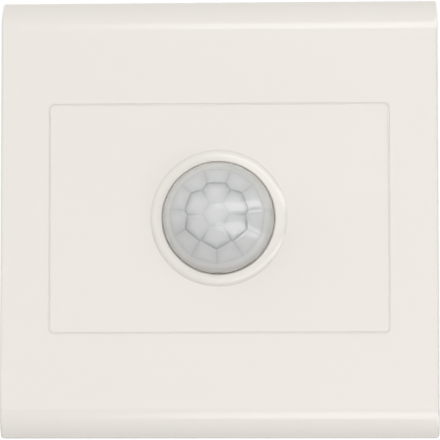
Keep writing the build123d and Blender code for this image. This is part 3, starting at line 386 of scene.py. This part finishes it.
def revolve(mesh_data, profile, centre, segments):
    """Adds the surface that a profile of (radius, depth) points makes round an axis along Y."""
    rings = []
    for radius, depth in profile:
        if radius < ON_AXIS:
            rings.append([mesh_data.verts.new((centre[0], depth, centre[1]))])
            continue
        ring = []
        for i in range(segments):
            angle = 2 * math.pi * i / segments
            place = (centre[0] + radius * math.cos(angle), depth, centre[1] + radius * math.sin(angle))
            ring.append(mesh_data.verts.new(place))
        rings.append(ring)
    for first, second in zip(rings, rings[1:]):
        for i in range(segments):
            j = (i + 1) % segments
            near = [first[i % len(first)], first[j % len(first)]]
            far = [second[j % len(second)], second[i % len(second)]]
            corners = list(dict.fromkeys(near + far))
            if len(corners) > 2:
                mesh_data.faces.new(corners)


# Lens: a dome of crowned facets with soft valleys between them, and a smooth inner side
FACET_RINGS = ((1, 0, 0), (6, 24.5, 30), (11, 46.5, 90), (11, 69, 90))  # count, tilt, first azimuth
FACET_SHARE = 0.975  # distance of the flat facets from the dome's centre, as a share of its radius
LENS_WALL = 0.55 * MM
LENS_FLANGE = 0.8 * MM
LENS_SKIRT = 0.4 * MM
LENS_SEGMENTS = 144
LENS_SHARP = 9.0
BLANK_EXTRA = 1 * MM  # how far the uncut blank stands in front of the dome
INNER_STEPS = 24
FLATNESS = 0.3  # 0 is a round dome and 1 a dome of flat facets
VALLEY = 0.08 * MM
VALLEY_WIDTH = 0.6 * MM
VALLEY_TILTS = ((0, 0.3), (12, 0.35), (34, 1.0), (58, 0.6), (90, 0.1))  # tilt in degrees, share of depth
VALLEY_FADE = 2 * MM  # distance from the seat over which the valleys reach their depth
SEAT_EDGE = 0.001 * MM
EDGE_STEP = 0.35 * MM
CELL_SHARES = (1, 0.97, 0.94, 0.9, 0.86, 0.81, 0.74, 0.62, 0.48, 0.32, 0.16)
RING_PITCH = 0.45 * MM
# Painted shade in the lens's creases: the width of its fine line and of its wide soft part, and its strength
# on each ring's inner and outer side
CREASE_LINE = 0.35 * MM
CREASE_SHADE = 1.7 * MM
CREASE_SHARES = ((0.28, 0.28), (0.2, 1.0), (0.4, 0.3), (0.05, 0.1))  # inner and outer side of each ring

lens_low, lens_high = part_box("fresnel_lens")
flange_radius = (lens_high.x - lens_low.x) / 2
flange_front = lens_high.y - LENS_FLANGE
dome_centre = Vector((0, flange_front - LENS_SKIRT, 0))
facet_distance = dome_centre.y - lens_low.y
dome_radius = facet_distance / FACET_SHARE
inner_radius = facet_distance - LENS_WALL


def lens_polyhedron():
    """The outer side of the lens as flat facets on a short round skirt, each with its ring's number."""
    mesh_data = bmesh.new()
    beyond = lens_low.y - BLANK_EXTRA
    blank = [(0, beyond), (dome_radius, beyond), (dome_radius, flange_front)]
    revolve(mesh_data, blank, (0, 0), LENS_SEGMENTS)
    rings = mesh_data.faces.layers.int.new("ring")
    for ring, (count, tilt, first_azimuth) in enumerate(FACET_RINGS, start=1):
        lean = math.radians(tilt)
        for i in range(count):
            azimuth = math.radians(first_azimuth + 360 * i / count)
            across, along = math.sin(lean), -math.cos(lean)
            out = Vector((across * math.cos(azimuth), along, across * math.sin(azimuth)))
            cut = bmesh.ops.bisect_plane(
                mesh_data,
                geom=mesh_data.verts[:] + mesh_data.edges[:] + mesh_data.faces[:],
                dist=ON_PLANE,
                plane_co=dome_centre + facet_distance * out,
                plane_no=out,
                clear_outer=True,
            )
            rim = [part for part in cut["geom_cut"] if isinstance(part, bmesh.types.BMEdge)]
            for face in bmesh.ops.contextual_create(mesh_data, geom=rim)["faces"]:
                face[rings] = ring
    return mesh_data, rings


def smooth_step(value):
    """Eases from 0 to 1."""
    value = max(0.0, min(1.0, value))
    return value * value * (3 - 2 * value)


def valley_share(out):
    """How deep the valleys are at a direction's tilt from the dome's axis."""
    tilt = math.degrees(math.acos(max(-1, min(1, -out.y))))
    for (low, first), (high, second) in zip(VALLEY_TILTS, VALLEY_TILTS[1:]):
        if tilt <= high:
            return first + (second - first) * (tilt - low) / (high - low)
    return 0


def crowned_place(flat, border_gap):
    """Moves a point of a flat facet towards the round dome, and down where a valley runs."""
    if flange_front - flat.y < SEAT_EDGE:
        return flat
    along = flat - dome_centre
    out = along.normalized()
    across = math.hypot(out.x, out.z)
    round_distance = 1 / math.hypot(across / dome_radius, out.y / facet_distance)
    distance = round_distance + FLATNESS * (along.length - round_distance)
    depth = VALLEY * valley_share(out) * smooth_step((flange_front - flat.y) / VALLEY_FADE)
    return dome_centre + out * (distance - depth * (1 - smooth_step(border_gap / VALLEY_WIDTH)))


def split_border(face):
    """Points round a face's border, about EDGE_STEP apart."""
    corners = [vertex.co.copy() for vertex in face.verts]
    border = []
    for first, second in zip(corners, corners[1:] + corners[:1]):
        steps = max(1, round((second - first).length / EDGE_STEP))
        border += [first.lerp(second, i / steps) for i in range(steps)]
    return border


def crease_shade(gap):
    """How much painted shade a crease gets at a distance from a facet's border: a fine line in a wide soft
    shade.
    """
    return 1 - 0.5 * (smooth_step(gap / CREASE_LINE) + smooth_step(gap / CREASE_SHADE))


def add_facet(mesh_data, border, normal, crease_shares):
    """One facet as rings of points that rise from its border to its centre."""
    crease_shade_layer = mesh_data.verts.layers.float["painted_crease_shade"]
    radius_layer = mesh_data.verts.layers.float["cell_radius"]
    centre = dome_centre + facet_distance * normal
    reach = min((point - centre).length for point in border)
    inner_share, outer_share = crease_shares
    outward = (Vector((normal.x, 0, normal.z)) - normal * (1 - normal.y**2)).normalized()
    rings = []
    for share in CELL_SHARES:
        ring = []
        gap = (1 - share) * reach
        for point in border:
            vertex = mesh_data.verts.new(crowned_place(centre.lerp(point, share), gap))
            # Painted shade of the crease, weighted between the ring's inner and outer share by the point's
            # side
            side = smooth_step(0.5 + 0.5 * (point - centre).normalized().dot(outward))
            vertex[crease_shade_layer] = crease_shade(gap) * (inner_share + (outer_share - inner_share) * side)
            vertex[radius_layer] = (point - centre).length * share / RING_PITCH * 2 * math.pi
            ring.append(vertex)
        rings.append(ring)
    for first, second in zip(rings, rings[1:]):
        bridge(mesh_data, first, second)
    top = mesh_data.verts.new(crowned_place(centre, reach))
    for i in range(len(border)):
        mesh_data.faces.new((rings[-1][i], rings[-1][(i + 1) % len(border)], top))


def crowned_lens():
    """The outer side of the lens, each flat facet crowned and each face of the skirt as it is."""
    flat, ring_layer = lens_polyhedron()
    mesh_data = bmesh.new()
    for layer in ("painted_crease_shade", "cell_radius"):
        mesh_data.verts.layers.float.new(layer)
    for face in flat.faces:
        border = split_border(face)
        if face[ring_layer] == 0:
            mesh_data.faces.new([mesh_data.verts.new(crowned_place(point, 0)) for point in border])
            continue
        outwards = face.normal.dot(face.calc_center_median() - dome_centre) > 0
        normal = face.normal if outwards else -face.normal
        add_facet(mesh_data, border, normal, CREASE_SHARES[face[ring_layer] - 1])
    flat.free()
    return mesh_data


lens_mesh = crowned_lens()
inner_angles = [math.pi / 2 * i / INNER_STEPS for i in range(INNER_STEPS + 1)]
inner_profile = [
    (inner_radius * math.sin(angle), dome_centre.y - inner_radius * math.cos(angle)) for angle in inner_angles
]
flange_profile = [
    (inner_radius, lens_high.y),
    (flange_radius, lens_high.y),
    (flange_radius, flange_front),
    (dome_radius, flange_front),
]
revolve(lens_mesh, inner_profile + flange_profile, (0, 0), LENS_SEGMENTS)
lens = finish_piece(lens_mesh, "lens_dome", "cover", "lens_plastic", LENS_SHARP)
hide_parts("fresnel_lens")

# Seam lip: the narrow ledge that closes the seam between the frame and the insert
INSERT_HALF_WIDTH = 33.275 * MM
INSERT_HALF_HEIGHT = 22.425 * MM
INSERT_CORNER = 0.9 * MM
SEAM_GAP = 0.15 * MM
SEAM_DEPTH = 0.16 * MM
LIP_CLEAR = 0.01 * MM
LIP_SHARP = 40.0
FRONT = -9.5 * MM
CORNER_STEPS = 8


def rounded_outline(grow, depth):
    """Points round a rectangle with round corners, larger than the insert by grow."""
    points = []
    for turn, (x, z) in enumerate(((1, 1), (-1, 1), (-1, -1), (1, -1))):
        for i in range(CORNER_STEPS + 1):
            angle = math.pi / 2 * (turn + i / CORNER_STEPS)
            reach = INSERT_CORNER + grow
            across = x * (INSERT_HALF_WIDTH - INSERT_CORNER) + reach * math.cos(angle)
            up = z * (INSERT_HALF_HEIGHT - INSERT_CORNER) + reach * math.sin(angle)
            points.append((across, depth, up))
    return points


ledge_front, ledge_back = FRONT + SEAM_DEPTH, FRONT + 3 * SEAM_DEPTH
ledge_inner, ledge_outer = LIP_CLEAR, SEAM_GAP - LIP_CLEAR
seam_lip = bmesh.new()
lip_rows = []
for grow, depth in (
    (ledge_inner, ledge_front),
    (ledge_outer, ledge_front),
    (ledge_outer, ledge_back),
    (ledge_inner, ledge_back),
):
    lip_rows.append([seam_lip.verts.new(point) for point in rounded_outline(grow, depth)])
for first, second in zip(lip_rows, lip_rows[1:] + lip_rows[:1]):
    bridge(seam_lip, first, second)
finish_piece(seam_lip, "seam_lip", "cover", "cover_plastic", LIP_SHARP)

# Collar lip: a thin edge that closes the crevice round the lens
LIP_OUTER = 11.09 * MM
LIP_INNER = 11.0 * MM
LIP_FRONT = FRONT - 0.3 * MM
collar_lip = bmesh.new()
lip_profile = ((LIP_INNER, LIP_FRONT), (LIP_OUTER, LIP_FRONT), (LIP_OUTER, FRONT), (LIP_INNER, FRONT))
revolve(collar_lip, lip_profile + lip_profile[:1], (0, 0), LENS_SEGMENTS)
finish_piece(collar_lip, "collar_lip", "cover", "cover_plastic", LIP_SHARP)

# Screws: domed heads with a slot or a cross, and a helical thread.
# The way of a screw is 1 where its shank points along +Y and -1 where it points along -Y.
ScrewKind = namedtuple("ScrewKind", "head_radius head_height shank pitch way recess")
SCREW_SEGMENTS = 48
SCREW_SHARP = 35.0
HEAD_CURVE = ((0, 0), (0.62, 0.02), (0.84, 0.14), (0.96, 0.38), (1, 0.68), (1, 0.96), (0.97, 1))
CORE_SHARE = 0.8  # of the shank's full radius, as are the two below
ROOT_SHARE = 0.78
TIP_SHARE = 0.5
THREAD_STEPS = 20
RUN_OUT_STEPS = 14
RUN_OUT_START = 0.1
RIDGE = ((0, 0.02), (1, 0.42), (1, 0.58), (0, 0.98))  # height above the root, place along one pitch


def add_thread(mesh_data, centre, start, end, crest, root, pitch):
    """A closed helical ridge on the screw's full radius, which runs out at both ends."""
    count = int(((end - start) / pitch - 1) * THREAD_STEPS)
    rows = []
    for i in range(count + 1):
        angle = 2 * math.pi * i / THREAD_STEPS
        depth = start + pitch * (0.5 + i / THREAD_STEPS)
        fade = min(1, RUN_OUT_START + min(i, count - i) / RUN_OUT_STEPS)
        row = []
        for height, lift in RIDGE:
            radius = root + (crest - root) * fade * height
            x, z = centre[0] + radius * math.cos(angle), centre[1] + radius * math.sin(angle)
            row.append(mesh_data.verts.new((x, depth + (lift - 0.5) * pitch, z)))
        rows.append(row)
    for first, second in zip(rows, rows[1:]):
        bridge(mesh_data, first, second)
    mesh_data.faces.new(rows[0])
    mesh_data.faces.new(rows[-1])


def box_cutter(centre, front, back, half_x, half_z):
    """A box for a boolean cut, from one depth to another."""
    mesh_data = bmesh.new()
    bmesh.ops.create_cube(mesh_data, size=2)
    for vertex in mesh_data.verts:
        depth = front if vertex.co.y < 0 else back
        vertex.co = (centre[0] + vertex.co.x * half_x, depth, centre[1] + vertex.co.z * half_z)
    face_outwards(mesh_data)
    return add_object(mesh_data, "cutter")


def make_screw(name, body, centre, low, high, kind):
    """One screw from depth low to high, whose head is at the end that its way leads from."""
    seat = (low if kind.way > 0 else high) + kind.way * kind.head_height
    top = seat - kind.way * kind.head_height
    length = high - low - kind.head_height
    end = seat + kind.way * length
    full_end = seat + kind.way * (length - kind.shank * TIP_SHARE)
    profile = []
    for across, down in HEAD_CURVE:
        profile.append((kind.head_radius * across, top + kind.way * kind.head_height * down))
    core = kind.shank * CORE_SHARE
    profile += [(core, seat), (core, full_end), (kind.shank * TIP_SHARE, end), (0, end)]
    mesh_data = bmesh.new()
    revolve(mesh_data, profile, centre, SCREW_SEGMENTS)
    face_outwards(mesh_data)
    blank = add_object(mesh_data, "blank")
    cutters = []
    for half_x, half_z, depth in kind.recess:
        front, back = sorted((top - kind.way * kind.head_height, top + kind.way * depth))
        cutters.append(box_cutter(centre, front, back, half_x, half_z))
        cut = blank.modifiers.new("recess", "BOOLEAN")
        cut.operation = "DIFFERENCE"
        cut.object = cutters[-1]
    bpy.context.view_layer.update()
    evaluated = blank.evaluated_get(bpy.context.evaluated_depsgraph_get())
    screw = bmesh.new()
    screw.from_mesh(evaluated.to_mesh())
    evaluated.to_mesh_clear()
    for leftover in (blank, *cutters):
        bpy.data.objects.remove(leftover)
    first, last = sorted((seat + kind.way * kind.pitch, full_end))
    add_thread(screw, centre, first, last, kind.shank, kind.shank * ROOT_SHARE, kind.pitch)
    return finish_piece(screw, name, body, "zinc_steel", SCREW_SHARP)


SLOT_HALF_WIDTH = 0.45 * MM
SLOT_DEPTH = 1.0 * MM
CROSS_HALF_LENGTH = 1.35 * MM
CROSS_HALF_WIDTH = 0.3 * MM
CROSS_DEPTH = 0.9 * MM
CROSS = (
    (CROSS_HALF_LENGTH, CROSS_HALF_WIDTH, CROSS_DEPTH),
    (CROSS_HALF_WIDTH, CROSS_HALF_LENGTH, CROSS_DEPTH),
)


def slot_recess(head_radius):
    """A slot across the whole head."""
    return ((2 * head_radius, SLOT_HALF_WIDTH, SLOT_DEPTH),)


FIXING_SPACING = 60.3 * MM
fixing_low, fixing_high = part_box("mounting_screws")
fixing_kind = ScrewKind(
    head_radius=fixing_high.z,
    head_height=2.6 * MM,
    shank=2.0 * MM,
    pitch=0.7 * MM,
    way=1,
    recess=slot_recess(fixing_high.z),
)
for side, x in (("left", -FIXING_SPACING / 2), ("right", FIXING_SPACING / 2)):
    fixing = make_screw(f"fixing_screw_{side}", "base", (x, 0), fixing_low.y, fixing_high.y, fixing_kind)
    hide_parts("mounting_screws")

case_kind = ScrewKind(
    head_radius=2.3 * MM, head_height=1.6 * MM, shank=1.3 * MM, pitch=0.9 * MM, way=-1, recess=CROSS
)
case_low, case_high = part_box("case_screws")
case_place = case_high.x - case_kind.head_radius
for number, (x, z) in enumerate(((-1, -1), (1, -1), (-1, 1), (1, 1)), start=1):
    centre = (x * case_place, z * case_place)
    case_screw = make_screw(f"case_screw_{number}", "base", centre, case_low.y, case_high.y, case_kind)
    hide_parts("case_screws")

for number in (1, 2, 3):
    node = f"terminal_screw_{number}"
    low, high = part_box(node)
    head_radius = (high.x - low.x) / 2
    centre = ((low.x + high.x) / 2, (low.z + high.z) / 2)
    clamp_kind = ScrewKind(
        head_radius=head_radius,
        head_height=1.5 * MM,
        shank=1.5 * MM,
        pitch=0.5 * MM,
        way=-1,
        recess=slot_recess(head_radius),
    )
    clamp = make_screw(f"clamp_screw_{number}", node, centre, low.y, high.y, clamp_kind)
    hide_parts(node)

# Floor, far enough below that the plate hangs as it does on a wall
FLOOR_DROP = 0.62
FLOOR_REACH = 6
FLOOR_GREYS = ((0.56, 0.56, 0.56), (0.6, 0.6, 0.6))
FLOOR_CLOUD = 8
FLOOR_GLOW = 0.42  # only where the camera sees it, so that it looks pale and throws back little light
floor_mesh = bmesh.new()
bmesh.ops.create_grid(floor_mesh, x_segments=8, y_segments=8, size=FLOOR_REACH)
floor = add_object(floor_mesh, "floor")
floor.location = (0, 0, -FLOOR_DROP)
floor_material, floor_tree, floor_shader = new_material("floor_paper")
floor_colour = add_mix(floor_tree, add_noise(floor_tree, FLOOR_CLOUD, 2), *FLOOR_GREYS)
floor_tree.links.new(floor_colour, floor_shader.inputs["Base Color"])
floor_seen = floor_tree.nodes.new("ShaderNodeLightPath").outputs["Is Camera Ray"]
floor_glow = add_range(floor_tree, floor_seen, 0, FLOOR_GLOW)
floor_tree.links.new(floor_glow, floor_shader.inputs["Emission Strength"])
set_inputs(floor_shader, {"Roughness": 0.9, "Emission Color": (1, 1, 1, 1)})
floor.data.materials.append(floor_material)

# World: white where it is seen or mirrored, and as a light softer away from FILL_AIM
FRONT_FILL = 1.15
SIDE_FILL = 0.35
FILL_AIM = (-0.5, -0.866, 0)
world = bpy.data.worlds.new("studio")
scene.world = world
world.use_nodes = True
world_tree = world.node_tree
background = world_tree.nodes["Background"]
background.inputs["Color"].default_value = (1, 1, 1, 1)
rays = world_tree.nodes.new("ShaderNodeLightPath").outputs
seen = add_math(world_tree, "MAXIMUM", rays["Is Camera Ray"], rays["Is Transmission Ray"])
seen_or_mirrored = add_math(world_tree, "MAXIMUM", seen, rays["Is Glossy Ray"])
toward = world_tree.nodes.new("ShaderNodeVectorMath")
toward.operation = "DOT_PRODUCT"
toward.inputs[1].default_value = FILL_AIM
direction = world_tree.nodes.new("ShaderNodeTexCoord").outputs["Generated"]
world_tree.links.new(direction, toward.inputs[0])
fill = add_range(world_tree, toward.outputs["Value"], SIDE_FILL, FRONT_FILL, smooth=True)
strength = add_math(world_tree, "MAXIMUM", seen_or_mirrored, fill)
world_tree.links.new(strength, background.inputs["Strength"])

# Lamps: long soft panels above and below the line of sight, in front on the right, and two behind.
# Each has its azimuth, elevation, distance, width, height and radiance, and whether it lights the
# object or is only mirrored in it.
PANELS = {
    "upper_right": (24, 21, 1.5, 1.55, 0.4, 2.3, True),
    "upper_side": (76, 21, 1.5, 1.4, 0.4, 2.6, False),
    "lower_right": (24, -23, 0.95, 0.98, 0.34, 2.3, True),
    "lower_side": (76, -23, 0.95, 0.9, 0.34, 2.6, False),
    "rear_left": (212, 36, 2.0, 1.7, 1.3, 2.0, True),
    "rear_right": (148, 36, 2.0, 1.7, 1.3, 2.0, True),
}


def add_panel(name, azimuth, elevation, distance, width, height, radiance, lights):
    """A soft panel that faces the object. Azimuth 0 is towards the camera and 90 to the right."""
    data = bpy.data.lights.new(name, "AREA")
    data.shape = "RECTANGLE"
    data.size = width
    data.size_y = height
    data.energy = radiance * math.pi * width * height
    lamp = bpy.data.objects.new(name, data)
    turn, rise = math.radians(azimuth), math.radians(elevation)
    across, up = math.cos(rise), math.sin(rise)
    back = Vector((math.sin(turn) * across, -math.cos(turn) * across, up))
    lamp.location = back * distance
    lamp.rotation_euler = back.to_track_quat("Z", "Y").to_euler()
    lamp.visible_camera = False
    lamp.visible_diffuse = lights
    scene.collection.objects.link(lamp)


for name, panel in PANELS.items():
    add_panel(name, *panel)

# Camera at the photograph's place, a little right of and below the plate's middle
CAMERA_PLACE = Vector((0.0324, -0.6401, -0.0493))
CAMERA_TURNS = {"X": -4.43, "Y": 2.92, "Z": -0.017}
FOCAL_PIXELS = 3229.9
IMAGE_PIXELS = 440
SENSOR = 36.0
look = Matrix.Identity(3)
for axis, degrees in CAMERA_TURNS.items():
    look = look @ Matrix.Rotation(math.radians(degrees), 3, axis)
right, down, forward = (Vector((row[0], row[2], -row[1])) for row in look)
camera_data = bpy.data.cameras.new("camera")
camera_data.sensor_width = SENSOR
camera_data.lens = FOCAL_PIXELS / IMAGE_PIXELS * SENSOR
camera_data.clip_start = 0.01
camera = bpy.data.objects.new("camera", camera_data)
axes = Matrix((right, -down, -forward)).transposed().to_4x4()
camera.matrix_world = Matrix.Translation(CAMERA_PLACE) @ axes
scene.collection.objects.link(camera)
scene.camera = camera
